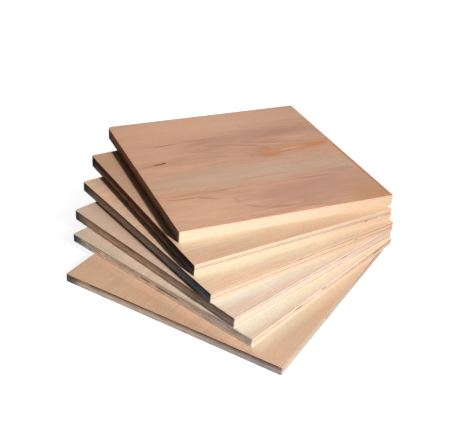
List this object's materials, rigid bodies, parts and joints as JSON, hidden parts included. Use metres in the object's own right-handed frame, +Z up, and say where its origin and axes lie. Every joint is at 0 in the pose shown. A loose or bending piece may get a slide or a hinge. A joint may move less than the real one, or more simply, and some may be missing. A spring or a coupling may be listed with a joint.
{
  "type": "stack of plywood sheets",
  "caption": "Square plywood sheets lying flat on each other, thicker towards the top, fanned about one corner so that each shows a wedge of its face.",
  "frame": {"origin": "on the floor, under the middle of the stack's bounding box", "axes": "+Z up, +X along the top sheet's front edge and its face grain, towards the corner that the sheets are fanned about; +Y towards the top sheet's back edge"},
  "size_m": [0.5702, 0.6498, 0.108],
  "materials": {
    "warm_tan_plywood": "matte",
    "pale_grey_plywood": "matte",
    "pale_rose_plywood": "matte",
    "rose_plywood": "matte",
    "tan_plywood": "matte",
    "pink_tan_plywood": "matte"
  },
  "bodies": {
    "root": {"bottom_sheet": "warm_tan_plywood", "second_sheet": "pale_grey_plywood", "third_sheet": "pale_rose_plywood", "fourth_sheet": "rose_plywood", "fifth_sheet": "tan_plywood", "top_sheet": "pink_tan_plywood"}
  },
  "joints": []
}
